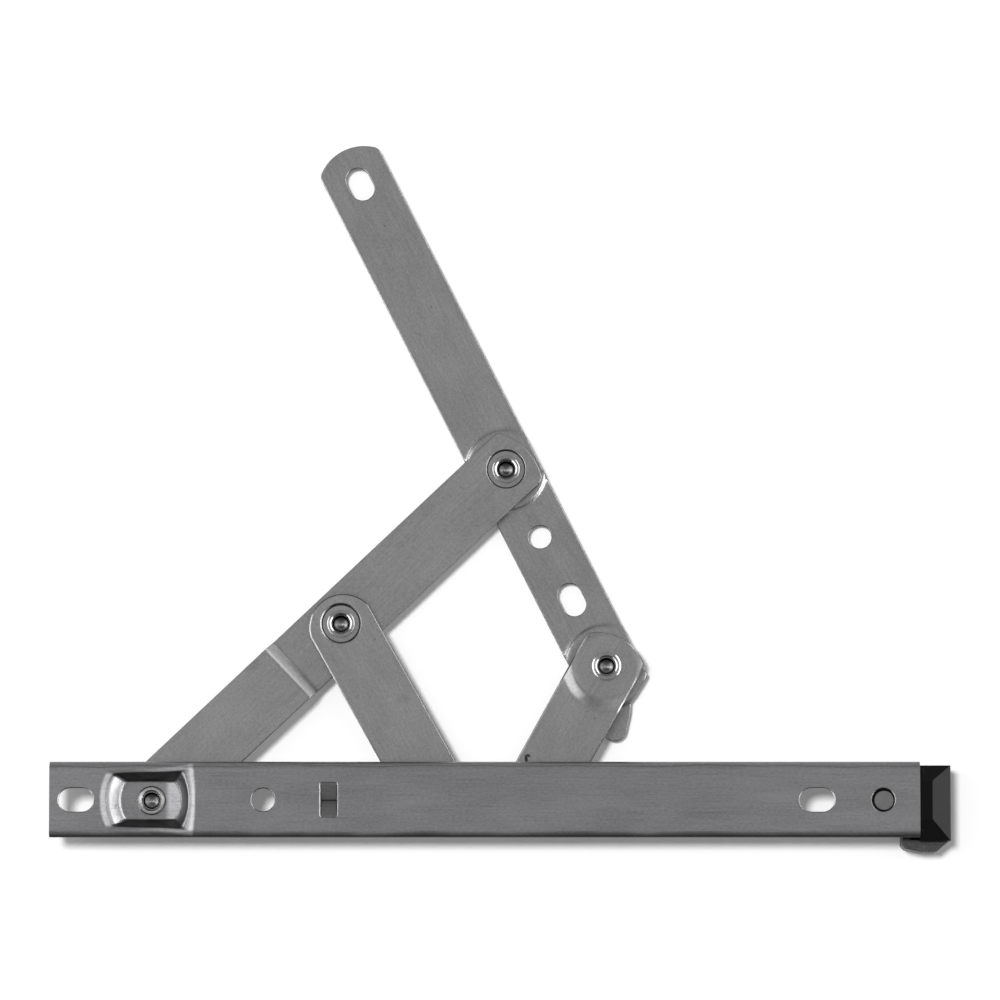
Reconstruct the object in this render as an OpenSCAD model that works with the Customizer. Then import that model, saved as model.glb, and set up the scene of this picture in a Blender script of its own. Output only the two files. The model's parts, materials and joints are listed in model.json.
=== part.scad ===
// Window friction stay, seen from the back of its track, standing fully open.
// Millimetres. The origin is the centre of the track's round screw hole on the back face.
// +X runs along the track to the end cap, +Y to the sash arm's side, +Z out of the back.

/* [Track] */
// Length of the steel track
track_len = 203.2; // [180:0.1:230]
// Width of the track
track_w = 18; // [17:0.1:20]
// Height of the track's section
track_h = 5.5; // [5.2:0.1:7]
// Thickness of the track's sheet
sheet_t = 1.5; // [1.2:0.05:1.6]
// Outer radius of the track's bends
bend_r = 2; // [1.6:0.1:2.4]
// From the track's left end to the round hole
hole_inset = 49.9; // [48:0.1:56]
// Radius of the round screw holes in the track and the sash arm
hole_r = 2.7; // [2:0.05:3]
// From the round hole to the left slot
left_slot_x = 43.65; // [43:0.05:44]
// Length of the track's slots, end to end
slot_len = 8.2; // [7:0.1:9]
// Width of the track's slots
slot_w = 5.5; // [4.6:0.1:6]
// From the right slot to the track's right end
right_slot_inset = 24.05; // [23:0.05:30]

/* [Pivot seat] */
// From the round hole to the long arm's pivot
pivot_inset = 26.2; // [25:0.1:27]
// Radius of the seat's flat floor
seat_floor_r = 7.1; // [6.5:0.1:7.5]
// Half the width of the seat's floor
seat_floor_y = 4.3; // [4:0.1:4.6]
// Radius where the seat's wall meets the rim
seat_wall_r = 9.6; // [9.2:0.1:10]
// Radius of the seat's rim in the track's back
seat_rim_r = 11.25; // [10.8:0.05:11.5]
// Half the width of the seat at the track's back
seat_rim_y = 7.4; // [7:0.1:7.6]

/* [Stop window] */
// Width of the window, along the track
window_w = 4; // [3:0.1:5]
// Height of the window, across the track
window_h = 7.8; // [7:0.1:8.4]
// Depth of the fold where the two flaps meet
flap_drop = 2.6; // [2.2:0.1:2.8]

/* [Linkage] */
// Angle between the long arm and the track when fully open
open_angle = 43.4; // [38:0.1:46]
// How much longer the long arm's inner part is than the middle link
mid_offset = 12.9; // [10:0.1:14]
// Sash arm, between its two pivots
sash_arm_len = 52.2; // [47:0.1:58]
// End link, between its two pivots
end_link_len = 36.4; // [33:0.1:40]
// Spacing of the two pivots on the slider
slider_pitch = 21.4; // [19:0.05:25]
// From the nose pivot, when closed, to the track's right end
nose_inset = 13.2; // [12.6:0.1:16]

/* [Arms] */
// Thickness of the arms and links
plate_t = 2; // [1.8:0.1:2.5]
// Width of the arms and links
plate_w = 15.5; // [15:0.1:16]
// From the end of the long arm's joggle to the middle link's pivot
joggle_back = 14.8; // [12:0.1:17]
// Length of the joggle's slope
joggle_run = 2.4; // [2.2:0.1:3.4]
// Long arm's end past its sash pivot
long_tip = 6.65; // [6.2:0.05:7.5]
// Radius of the long arm's end
long_tip_r = 15.2; // [12:0.1:18]
// Middle link's end past its pivot on the long arm
mid_tip = 6.8; // [6.2:0.1:7.7]
// Radius of the middle link's end
mid_tip_r = 8; // [7.9:0.1:10]
// End link's end past its pivot on the sash arm
end_tip = 7.5; // [6.5:0.1:7.6]
// Radius of the end link's end
end_tip_r = 11.5; // [9:0.1:14]
// Radius of the flat pad pressed into the end link
link_pad_r = 7.2; // [6.5:0.1:7.5]
// Outer radius of the slope round the end link's pad
link_slope_r = 10.5; // [9.5:0.1:11]

/* [Sash arm] */
// From the sash pivot to the free end
sash_tail = 85.45; // [80:0.05:110]
// Radius of the free end
sash_tail_r = 11; // [9:0.1:14]
// From the free end to the centre of the tail slot
tail_slot_inset = 9; // [8.5:0.1:12]
// From the sash pivot to the round hole
sash_hole_x = 17.74; // [16:0.01:19]
// From the nose pivot back to the second slot
sash_slot_inset = 17.8; // [17:0.1:19]
// Length of the sash arm's slots, end to end
sash_slot_len = 8; // [7:0.1:9]
// Width of the sash arm's slots
sash_slot_w = 5.6; // [4.6:0.1:6]
// How far the two pads stand out of the sash arm
pad_rise = 1.1; // [1:0.05:1.4]
// Outer radius of the pad at the sash pivot
sash_pad_r = 10.1; // [9.5:0.1:10.6]
// Flat ring of the nose pad outside its rivet's head
nose_pad_ring = 3.5; // [3:0.1:4]
// Width of the slope round both pads
pad_slope = 1.2; // [1:0.1:1.6]
// From the nose pivot to the tip of the tongue
tongue_x = 16.8; // [16:0.1:17.5]
// Radius of the tongue's round tip
tongue_r = 2.8; // [2.4:0.1:3]

/* [Rivets] */
// Radius of the rivet shanks
shank_r = 2; // [1.8:0.05:2.2]
// Radial running clearance round a shank
shank_gap = 0.05; // [0.02:0.01:0.1]
// Radius of the rolled rivet heads
head_r = 3.4; // [3.2:0.05:3.8]
// Height of the rolled rivet heads
head_h = 0.95; // [0.8:0.05:0.95]
// Radius of the hole in a rolled head
head_hole_r = 2.15; // [2:0.05:2.3]
// Radius of the plain far heads
far_r = 3.6; // [3.2:0.1:4]
// Height of the plain far heads
far_h = 0.9; // [0.6:0.05:0.95]
// How far the nose rivet's far head overlaps the hole in the sash arm
nose_head_lap = 1.8; // [1.2:0.1:2]
// Radius of the counterbores round flush heads
sink_r = 4.7; // [4.4:0.1:5]
// Thickness of the washers
washer_t = 0.3; // [0.2:0.05:0.5]

/* [Slider] */
// Radius of the slider's pivot bosses
boss_r = 2.6; // [2.5:0.05:2.7]
// Slider's body ahead of its first pivot
slider_lead = 23.8; // [20:0.1:24]
// Slider's body behind its second pivot
slider_tail = 7.95; // [6:0.05:9]
// Length of the friction shoe
shoe_len = 8; // [6.5:0.1:9]
// Width of the friction shoe
shoe_w = 7.6; // [6:0.1:8.6]
// Radius of the adjusting screw's shank
screw_r = 1.5; // [1.2:0.05:1.7]
// Radius of the adjusting screw's head
screw_head_r = 2.2; // [2:0.05:2.4]

/* [End cap] */
// Length of the cap past the track
cap_len = 7.3; // [7:0.1:9]
// Cap's edge above the track's centre line
cap_top = 8.2; // [7.4:0.1:9]
// Cap's edge below the track's centre line
cap_bottom = 9.4; // [8.6:0.1:9.6]
// Width of the flat on the cap's back, along the track
cap_flat_len = 2.9; // [2:0.1:3.2]
// Half the height of the flat on the cap's back
cap_flat_y = 4.5; // [3.6:0.1:5]
// Drop of the bevels round the flat
cap_bevel_drop = 3; // [2:0.1:4]
// Cap's plug inside the track
plug_len = 16.5; // [13:0.1:18]
// Thickness of the catch's side wall
catch_wall = 3.7; // [2.4:0.1:4]
// From the stud that holds the cap to the track's right end
stud_inset = 8.6; // [8:0.1:10]

/* [Hidden] */
$fn = 64;

// Clearances and small sizes
eps = 0.01;
run_gap = 0.1;        // between the lips and what slides along them
slide_gap = 0.15;     // round the slider inside the track
part_gap = 0.3;       // between the arms and what they close on
fit_gap = 0.05;       // round fixed parts in their seats
corner_r = 2;         // on the corners of the long arm and the free end
flush_gap = 0.05;     // a sunk head below the face
relief = 1.3;         // clear length of the lips' cut past the seat
nose_cut = 10.6;      // from the tongue's tip back to the slanting cut
cut_run = 4;          // length of that cut, along the arm
cut_y = 1.1;          // where it ends above the arm's centre line
neck_y = 0.1;         // the tongue's neck above the centre line
neck_turn = 50;  // where the tongue's round end meets the neck, in degrees
fillet_r = 0.5;       // between the seat's floor and its wall
fillet_h = 0.35;
rim_depths = [0.9, 0.4, 0.1]; // of the rounding at the seat's rim
rim_y_lip = 0.35;     // width of the same rounding on the seat's straight sides
rim_y_depths = [0.3, 0.05];
press_wall = 0.9;     // how much wider the seat is below than inside
flap_edge = 0.3;      // half the flat where the two flaps meet
flap_root = 1;        // the flaps' hold on the sheet past the window
roll_r = 0.5;         // of the rolled heads' outer shoulder
roll_in = 0.35;       // of their inner shoulder
cone_r = 1.6;         // hole of the hollow rivets at its bottom
cone_z = [0.1, 0.5, 1.2]; // depths of its bottom below the head
far_chamfer = 0.2;    // on the plain far heads
hollow_lag = 0.4;     // by which the pads are narrower below

// Linkage. Closed, all pivots lie on the track's centre line.
linkage_track = 203.2;   // length of the track that the arms' lengths are given for
growth = track_len / linkage_track;
sash_len = sash_arm_len * growth;
end_len = end_link_len * growth;
track_right = track_len - hole_inset;
closed_span = track_right - nose_inset + pivot_inset;
long_arm_len = closed_span - sash_len;
mid_span = closed_span - end_len - slider_pitch;
long_arm_mid = (mid_span + mid_offset) / 2;
mid_link_len = (mid_span - mid_offset) / 2;
mid_angle = asin(long_arm_mid * sin(open_angle) / mid_link_len);
joggle_x = long_arm_mid - joggle_back - joggle_run;
track_pivot = [-pivot_inset, 0];
sash_pivot = track_pivot + long_arm_len * heading(open_angle);
link_pivot = track_pivot + long_arm_mid * heading(open_angle);
slider_mid = [link_pivot.x + mid_link_len * cos(mid_angle), 0];
slider_end = slider_mid + [slider_pitch, 0];
nose_pivot = meet(slider_end, end_len, sash_pivot, sash_len);
sash_angle = atan2(sash_pivot.y - nose_pivot.y, nose_pivot.x - sash_pivot.x);
end_angle = atan2(nose_pivot.y - slider_end.y, nose_pivot.x - slider_end.x);
closed_nose_x = track_right - nose_inset;

// Part way shut, the links stray from the exact closed loop by these two amounts
travel = [for (s = [0.05:0.05:0.95]) s];
slider_drift = max([for (s = travel) -slider_y(s)]);
nose_play = max([for (s = travel) norm(nose_by_sash(s) - nose_by_link(s))]);

// Heights, counted down from the track's back
lip_z = -track_h;
boss_z = lip_z - run_gap;
upper_z = boss_z - washer_t;              // links and the near end of the long arm
lower_z = upper_z - plate_t - washer_t;   // far end of the long arm, the end link's pad
pad_z = lower_z - plate_t - washer_t;     // pads of the sash arm
sash_z = pad_z - pad_rise;                // the rest of the sash arm
sink_h = head_h + flush_gap;

// Track's inside
inner_y = track_w / 2 - sheet_t;
inner_top = -sheet_t;
inner_floor = -(track_h - sheet_t);
lip_y = boss_r + slider_drift + part_gap;
seat_depth = -boss_z - sheet_t;
slider_top = inner_top - slide_gap;
slider_bottom = inner_floor + slide_gap;
slider_y0 = slider_drift - inner_y + slide_gap;
slider_y1 = inner_y - slide_gap;
slider_mid_y = (slider_y0 + slider_y1) / 2;
slider_x0 = slider_mid.x - slider_lead;
slider_x1 = slider_end.x + slider_tail;
window_x = slider_x0 - slide_gap - window_w / 2;
shoe_x = slider_x0 + slider_lead * 0.38;
half_w = plate_w / 2;

function heading(a) = [cos(a), sin(a)];
// Crossing of two circles, on the right-hand side of the line from a to b
function meet(a, ra, b, rb) =
    let (v = b - a, d = norm(v), u = v / d, k = (ra^2 - rb^2 + d^2) / (2 * d), h = sqrt(ra^2 - k^2))
    a + k * u + h * [u.y, -u.x];
// Coupled pose at the share s of the opening angles, 1 at rest and 0 when closed
function slider_y(s) = long_arm_mid * sin(open_angle * s) - mid_link_len * sin(mid_angle * s);
function slider_end_at(s) =
    track_pivot + long_arm_mid * heading(open_angle * s) + mid_link_len * heading(-mid_angle * s)
    + [slider_pitch, 0];
function nose_by_link(s) = slider_end_at(s) + end_len * heading(end_angle * s);
function nose_by_sash(s) =
    track_pivot + long_arm_len * heading(open_angle * s) + sash_len * heading(-sash_angle * s);

// Outlines
function arc(c, r, a0, a1, n) = [for (i = [0:n]) c + r * heading(a0 + (a1 - a0) * i / n)];
// End of a plate whose pivot is at the origin, from its +Y edge round to its -Y edge
function plate_end(tip, r, corner) =
    let (
        rr = max(r, half_w),
        cx = tip - rr,
        dx = sqrt(max(0, (rr - corner)^2 - (half_w - corner)^2)),
        a = atan2(half_w - corner, dx),
        blunt = a < 85
    )
    concat(
        blunt ? arc([cx + dx, half_w - corner], corner, 90, a, 5) : [],
        blunt ? arc([cx, 0], rr, a - a / 8, -a + a / 8, 14) : arc([cx, 0], rr, 90, -90, 24),
        blunt ? arc([cx + dx, corner - half_w], corner, -a, -90, 5) : []
    );
function turned(points) = [for (p = points) -p];
function shifted(points, v) = [for (p = points) p + v];
function plate_outline(len, near_tip, near_r, far_tip, far_r, corner) =
    concat(
        shifted(plate_end(far_tip, far_r, corner), [len, 0]),
        turned(plate_end(near_tip, near_r, corner))
    );
function nose_outline(len) =
    let (tip_c = [tongue_x - tongue_r, tongue_r - half_w])
    shifted(concat(
        [
            [tongue_x - nose_cut, half_w], [tongue_x - nose_cut + cut_run, cut_y],
            [tongue_x - 2 * tongue_r + cut_y, neck_y]
        ],
        arc(tip_c, tongue_r, neck_turn, -90, 10)
    ), [len, 0]);
// Smooth step from 0 to 1
function ease(s) = (1 - cos(180 * s)) / 2;
function joggle_line(z0, z1) =
    [for (i = [0:8]) [joggle_x + joggle_run * i / 8, z0 + (z1 - z0) * ease(i / 8)]];

module at(p, angle = 0) translate([p.x, p.y, 0]) rotate([0, 0, angle]) children();

// Plate between the height z and one thickness below it
module plate(points, z) translate([0, 0, z - plate_t]) linear_extrude(plate_t) polygon(points);

// Round hole through everything from z_low to z_high
module drill(x, r, z_low, z_high) translate([x, 0, z_low]) cylinder(r = r, h = z_high - z_low);

module slot(x, len, w, z_low, z_high) {
    reach = (len - w) / 2;
    for (side = [-1, 1]) drill(x + side * reach, w / 2, z_low, z_high);
    translate([x - reach, -w / 2, z_low]) cube([2 * reach, w, z_high - z_low]);
}

// Section along the part's Y and Z, extruded along X
module run_x(x0, x1) translate([x0, 0, 0]) rotate([90, 0, 90]) linear_extrude(x1 - x0) children();

// Section along the part's X and Z, extruded along Y
module run_y(y0, y1) translate([0, y1, 0]) rotate([90, 0, 0]) linear_extrude(y1 - y0) children();

module rounded_box(w, top, bottom, r) {
    translate([-w / 2, bottom + r]) square([w, top - bottom - 2 * r]);
    translate([r - w / 2, bottom]) square([w - 2 * r, top - bottom]);
    for (side = [-1, 1], z = [top - r, bottom + r]) translate([side * (w / 2 - r), z]) circle(r);
}

module channel_section() {
    inner_r = max(bend_r - sheet_t, 0.2);
    difference() {
        rounded_box(track_w, 0, lip_z, bend_r);
        rounded_box(2 * inner_y, inner_top, inner_floor, inner_r);
        translate([-lip_y, lip_z - 1]) square([2 * lip_y, sheet_t + 1.5]);
    }
}

// Round seat pressed into the track: radius and height of its wall
module seat_round(wall, drop) {
    rotate_extrude() polygon([
        [0, -seat_depth - drop], [seat_floor_r + wall - fillet_r, -seat_depth - drop],
        [seat_floor_r + wall, -seat_depth - drop + fillet_h],
        [seat_wall_r + wall - fillet_r / 2, -rim_depths[0] - drop],
        [seat_wall_r + wall + fillet_r / 2, -rim_depths[1] - drop],
        [(seat_wall_r + seat_rim_r) / 2 + wall, -rim_depths[2] - drop], [seat_rim_r + wall, eps - drop],
        [seat_rim_r + wall, eps], [0, eps]
    ]);
}

// Its two straight sides
module seat_sides(wall, drop) {
    floor_y = seat_floor_y + wall;
    rim_y = seat_rim_y + wall;
    run_x(-2 * seat_rim_r, 2 * seat_rim_r) polygon([
        [-rim_y, eps], [-rim_y, -rim_y_depths[1] - drop], [rim_y_lip - rim_y, -rim_y_depths[0] - drop],
        [-floor_y - fillet_h, -seat_depth - drop + fillet_h], [-floor_y, -seat_depth - drop],
        [floor_y, -seat_depth - drop], [floor_y + fillet_h, -seat_depth - drop + fillet_h],
        [rim_y - rim_y_lip, -rim_y_depths[0] - drop], [rim_y, -rim_y_depths[1] - drop], [rim_y, eps]
    ]);
}

module pivot_seat(wall, drop) at(track_pivot) intersection() {
    seat_round(wall, drop);
    seat_sides(wall, drop);
}

// Two flaps lanced from the window and folded into the track, which stop the slider
module stop_flaps() {
    run_x(window_x - window_w / 2, window_x + window_w / 2) polygon([
        [-window_h / 2 - flap_root, 0], [-window_h / 2, 0],
        [-flap_edge, -flap_drop], [flap_edge, -flap_drop],
        [window_h / 2, 0], [window_h / 2 + flap_root, 0],
        [window_h / 2 + flap_root, -sheet_t], [window_h / 2 - flap_edge, -sheet_t],
        [flap_edge, inner_top - flap_drop], [-flap_edge, inner_top - flap_drop],
        [flap_edge - window_h / 2, -sheet_t], [-window_h / 2 - flap_root, -sheet_t]
    ]);
}

module track() color([0.43, 0.43, 0.45]) difference() {
    union() {
        difference() {
            run_x(-hole_inset, track_right) channel_section();
            translate([window_x - window_w / 2, -window_h / 2, -sheet_t - 1])
                cube([window_w, window_h, sheet_t + 2]);
            translate([-pivot_inset - seat_rim_r - relief, -inner_y, lip_z - 1])
                cube([2 * (seat_rim_r + relief), 2 * inner_y, sheet_t + 1 + eps]);
        }
        stop_flaps();
        intersection() {
            pivot_seat(press_wall, sheet_t);
            translate([-hole_inset, -inner_y - eps, boss_z]) cube([track_len, 2 * (inner_y + eps), -boss_z]);
        }
    }
    pivot_seat(0, 0);
    drill(-pivot_inset, shank_r + shank_gap, boss_z - 1, 0);
    drill(0, hole_r, -sheet_t - 1, 1);
    slot(-left_slot_x, slot_len, slot_w, -sheet_t - 1, 1);
    slot(track_right - right_slot_inset, slot_len, slot_w, -sheet_t - 1, 1);
    drill(track_right - stud_inset, hole_r, -sheet_t - 1, 1);
}

module long_arm() color([0.5, 0.5, 0.51]) at(track_pivot, open_angle) difference() {
    intersection() {
        translate([0, 0, lower_z - plate_t - 1]) linear_extrude(upper_z - lower_z + plate_t + 2)
            polygon(plate_outline(long_arm_len, half_w, half_w, long_tip, long_tip_r, corner_r));
        run_y(-plate_w, plate_w) polygon(concat(
            [[-plate_w, upper_z]], joggle_line(upper_z, lower_z), [[long_arm_len + plate_w, lower_z]],
            [[long_arm_len + plate_w, lower_z - plate_t]],
            shifted(turned_back(joggle_line(upper_z, lower_z)), [0, -plate_t]),
            [[-plate_w, upper_z - plate_t]]
        ));
    }
    drill(0, shank_r + shank_gap, upper_z - plate_t - 1, upper_z + 1);
    drill(long_arm_mid, shank_r + shank_gap, lower_z - plate_t - 1, lower_z + 1);
    drill(long_arm_len, shank_r + shank_gap, lower_z - plate_t - 1, lower_z + 1);
    drill(long_arm_len, sink_r, lower_z - sink_h, lower_z + 1);
}
function turned_back(points) = [for (i = [len(points) - 1:-1:0]) points[i]];

module mid_link() color([0.52, 0.52, 0.53]) at(link_pivot, -mid_angle) difference() {
    plate(plate_outline(mid_link_len, mid_tip, mid_tip_r, half_w, half_w, corner_r), upper_z);
    drill(0, shank_r + shank_gap, upper_z - plate_t - 1, upper_z + 1);
    drill(0, sink_r, upper_z - sink_h, upper_z + 1);
    drill(mid_link_len, shank_r + shank_gap, upper_z - plate_t - 1, upper_z + 1);
    drill(mid_link_len, far_r + fit_gap, upper_z - plate_t - 1, upper_z - plate_t + far_h + flush_gap);
}

// The end link's pad drops by one level round the nose pivot
module end_link() color([0.51, 0.51, 0.52]) at(slider_end, end_angle) difference() {
    drop = upper_z - lower_z;
    link_points = plate_outline(end_len, half_w, half_w, end_tip, end_tip_r, corner_r);
    union() {
        plate(link_points, upper_z);
        intersection() {
            translate([0, 0, lower_z - plate_t]) linear_extrude(drop + plate_t) polygon(link_points);
            translate([end_len, 0, lower_z - plate_t])
                cylinder(r1 = link_pad_r + 1, r2 = link_slope_r + 1, h = drop);
        }
    }
    translate([end_len, 0, lower_z]) cylinder(r1 = link_pad_r, r2 = link_slope_r, h = drop + eps);
    drill(0, shank_r + shank_gap, upper_z - plate_t - 1, upper_z + 1);
    drill(end_len, shank_r + shank_gap, lower_z - plate_t - 1, lower_z + 1);
}

module sash_pad(x, r) translate([x, 0, sash_z]) cylinder(r1 = r, r2 = r - pad_slope, h = pad_rise);
module sash_pad_hollow(x, r)
    translate([x, 0, sash_z - plate_t - eps])
        cylinder(r1 = r - hollow_lag, r2 = r - hollow_lag - pad_slope, h = pad_rise + eps);

// Outline of the sash arm; its eye only shows where the nose hole needs more than the arm's width
module sash_shape() {
    polygon(concat(nose_outline(sash_len), turned(plate_end(sash_tail, sash_tail_r, corner_r))));
    translate([sash_len, 0]) circle(r = nose_hole_r + nose_pad_ring);
}

module sash_arm() color([0.5, 0.5, 0.51]) at(sash_pivot, -sash_angle) difference() {
    union() {
        translate([0, 0, sash_z - plate_t]) linear_extrude(plate_t) sash_shape();
        intersection() {
            translate([0, 0, sash_z]) linear_extrude(pad_rise) sash_shape();
            union() {
                sash_pad(0, sash_pad_r);
                sash_pad(sash_len, nose_pad_r);
            }
        }
    }
    sash_pad_hollow(0, sash_pad_r);
    sash_pad_hollow(sash_len, nose_pad_r);
    drill(0, shank_r + shank_gap, sash_z - plate_t - 1, pad_z + 1);
    drill(sash_len, nose_hole_r, sash_z - plate_t - 1, pad_z + 1);
    drill(sash_hole_x, hole_r, sash_z - plate_t - 1, sash_z + 1);
    slot(sash_len - sash_slot_inset, sash_slot_len, sash_slot_w, sash_z - plate_t - 1, sash_z + 1);
    slot(tail_slot_inset - sash_tail, sash_slot_len, sash_slot_w, sash_z - plate_t - 1, sash_z + 1);
}
nose_hole_r = shank_r + nose_play + 0.1;
nose_head_r = nose_hole_r + nose_head_lap;
nose_pad_r = nose_head_r + nose_pad_ring + pad_slope;

// Rolled, hollow head standing on z, with the shank below it down to z_low
module rolled_rivet(z, z_low, far, far_height) rotate_extrude() polygon([
    [0, z_low - far_height], [far - far_chamfer, z_low - far_height],
    [far, z_low - far_height + far_chamfer], [far, z_low],
    [shank_r, z_low], [shank_r, z], [head_r, z], [head_r, z + head_h - roll_r],
    [head_r - roll_r * 0.3, z + head_h - roll_r * 0.3], [head_r - roll_r, z + head_h],
    [head_hole_r + roll_in, z + head_h], [head_hole_r + roll_in * 0.3, z + head_h - roll_in * 0.7],
    [head_hole_r, z + head_h - 1.4 * roll_in], [cone_r + 0.05, z - cone_z[0]], [cone_r, z - cone_z[1]],
    [0, z - cone_z[2]]
]);

module track_rivet() color([0.62, 0.62, 0.63]) at(track_pivot)
    rolled_rivet(-seat_depth, upper_z - plate_t, far_r, far_h);
module sash_rivet() color([0.62, 0.62, 0.63]) at(sash_pivot)
    rolled_rivet(lower_z - sink_h, pad_z - plate_t, far_r, far_h);
module link_rivet() color([0.62, 0.62, 0.63]) at(link_pivot)
    rolled_rivet(upper_z - sink_h, lower_z - plate_t, far_r, far_h);
module nose_rivet() color([0.62, 0.62, 0.63]) at(nose_pivot)
    rolled_rivet(lower_z, pad_z - plate_t, nose_head_r, far_h);

// Solid rivet sunk in the slider's top
module slider_rivet(far_z) rotate_extrude() polygon([
    [0, far_z], [far_r - far_chamfer, far_z], [far_r, far_z + far_chamfer],
    [far_r, far_z + far_h], [shank_r, far_z + far_h],
    [shank_r, slider_top - far_h], [far_r, slider_top - far_h], [far_r, slider_top - flush_gap],
    [0, slider_top - flush_gap]
]);
module slider_rivet_mid() color([0.6, 0.6, 0.61]) at(slider_mid) slider_rivet(upper_z - plate_t + flush_gap);
module slider_rivet_end() color([0.6, 0.6, 0.61]) at(slider_end) slider_rivet(upper_z - plate_t - far_h);

module washer(z, outer) difference() {
    translate([0, 0, z]) cylinder(r = outer, h = washer_t);
    translate([0, 0, z - 1]) cylinder(r = shank_r + shank_gap, h = washer_t + 2);
}
module washer_track() color([0.7, 0.7, 0.66]) at(track_pivot) washer(upper_z, seat_floor_y);
module washer_sash() color([0.7, 0.7, 0.66]) at(sash_pivot) washer(pad_z, 5);
module washer_link() color([0.7, 0.7, 0.66]) at(link_pivot) washer(lower_z, 5);
module washer_nose() color([0.7, 0.7, 0.66]) at(nose_pivot) washer(pad_z, nose_head_r);
module washer_slider_mid() color([0.7, 0.7, 0.66]) at(slider_mid) washer(upper_z, 4.4);
module washer_slider_end() color([0.7, 0.7, 0.66]) at(slider_end) washer(upper_z, 4.4);

module slider() color([0.55, 0.52, 0.45]) difference() {
    union() {
        translate([slider_x0, slider_y0, slider_bottom])
            cube([slider_x1 - slider_x0, slider_y1 - slider_y0, slider_top - slider_bottom]);
        for (p = [slider_mid, slider_end]) drill_boss(p.x);
    }
    for (p = [slider_mid, slider_end]) {
        drill(p.x, shank_r + shank_gap, boss_z - 1, 0);
        drill(p.x, far_r + fit_gap, slider_top - far_h, 0);
    }
    translate([shoe_x - shoe_len / 2 - fit_gap, slider_mid_y - shoe_w / 2 - fit_gap, slider_bottom - 1])
        cube([shoe_len + 2 * fit_gap, shoe_w + 2 * fit_gap, track_h]);
}
module drill_boss(x) translate([x, 0, boss_z]) cylinder(r = boss_r, h = slider_bottom - boss_z + 1);

module friction_shoe() color([0.2, 0.2, 0.2]) difference() {
    translate([shoe_x - shoe_len / 2, slider_mid_y - shoe_w / 2, slider_bottom])
        cube([shoe_len, shoe_w, slider_top - slider_bottom]);
    translate([0, slider_mid_y, 0]) drill(shoe_x, screw_r + fit_gap, slider_bottom - 1, 0);
}

module adjusting_screw() color([0.7, 0.6, 0.35]) translate([shoe_x, slider_mid_y, 0]) difference() {
    union() {
        drill(0, screw_r, slider_bottom - eps, slider_top - flush_gap);
        drill(0, screw_head_r, slider_bottom - screw_head_h, slider_bottom);
    }
    translate([-screw_head_r - 1, -0.4, slider_bottom - screw_head_h - 1])
        cube([2 * screw_head_r + 2, 0.8, 1.5]);
}
screw_head_h = 1.1;

// Moulded cap: a plug in the track, a bevelled end, and the catch for the sash arm's tongue
cap_right = track_right + cap_len;
cap_back = -0.3;
catch_y = -half_w - part_gap - 0.15;
catch_x = closed_nose_x + tongue_x + part_gap;
catch_z0 = sash_z + part_gap;
catch_z1 = sash_z - plate_t - part_gap;
floor_x = closed_nose_x + nose_pad_r + part_gap;
wall_x = closed_nose_x + end_tip + 1.7;
lobe_y = catch_y - catch_wall;
lobe_chamfer = 1.5;   // height of the lobe's cut corner
lobe_run = 4.3;       // length of its shallow cut
lobe_slope = 3.3;     // length of its slope up to the cap's edge

module cap_end() intersection() {
    run_x(track_right + fit_gap, cap_right) polygon([
        [-cap_bottom, lip_z - run_gap - 1], [-cap_bottom, cap_back - cap_bevel_drop],
        [-cap_flat_y, cap_back], [cap_flat_y, cap_back],
        [cap_top, cap_back - cap_bevel_drop], [cap_top, lip_z - run_gap - 1]
    ]);
    run_y(-cap_bottom - 1, cap_top + 1) polygon([
        [track_right, lip_z - run_gap - 1], [track_right, cap_back], [track_right + cap_flat_len, cap_back],
        [cap_right, cap_back - cap_bevel_drop], [cap_right, lip_z - run_gap - 1]
    ]);
}

// Outline of the catch's side wall, which shows past the track's lower edge
module lobe_outline() polygon([
    [wall_x, catch_y], [wall_x, lobe_y + lobe_chamfer],
    [wall_x + lobe_chamfer / 2, lobe_y + lobe_chamfer / 2], [wall_x + lobe_run, lobe_y],
    [cap_right - lobe_slope, lobe_y], [cap_right - eps, -cap_bottom],
    [cap_right, -cap_bottom], [cap_right, catch_y]
]);

module end_cap() color([0.09, 0.09, 0.09]) difference() {
    union() {
        cap_end();
        translate([track_right - plug_len, slide_gap - inner_y, slider_bottom])
            cube([plug_len + 1, 2 * (inner_y - slide_gap), slider_top - slider_bottom]);
        translate([floor_x, -cap_bottom, catch_z0])
            cube([cap_right - floor_x, cap_bottom + cap_top, boss_z - catch_z0]);
        translate([0, 0, catch_z1]) linear_extrude(boss_z - catch_z1) lobe_outline();
        translate([catch_x, catch_y - 1, catch_z1])
            cube([cap_right - catch_x, half_w, catch_z0 - catch_z1 + 1]);
    }
    drill(track_right - stud_inset, hole_r, slider_bottom - 1, 0);
}

module cap_rivet() color([0.4, 0.4, 0.42]) translate([track_right - stud_inset, 0, 0]) {
    drill(0, hole_r - fit_gap, slider_bottom - eps, -0.25);
    drill(0, hole_r + 0.9, slider_bottom - 0.8, slider_bottom);
}

track();
end_cap();
cap_rivet();
long_arm();
sash_arm();
mid_link();
end_link();
slider();
friction_shoe();
adjusting_screw();
track_rivet();
sash_rivet();
link_rivet();
nose_rivet();
slider_rivet_mid();
slider_rivet_end();
washer_track();
washer_sash();
washer_link();
washer_nose();
washer_slider_mid();
washer_slider_end();
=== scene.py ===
# Window friction stay, seen from the back of its track: a rolled track with a pressed pivot seat,
# joggled arms, hollow rolled rivets and a moulded end cap, on a white floor.
import json
import math

import bmesh
import bpy
from mathutils import Matrix, Vector


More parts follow.
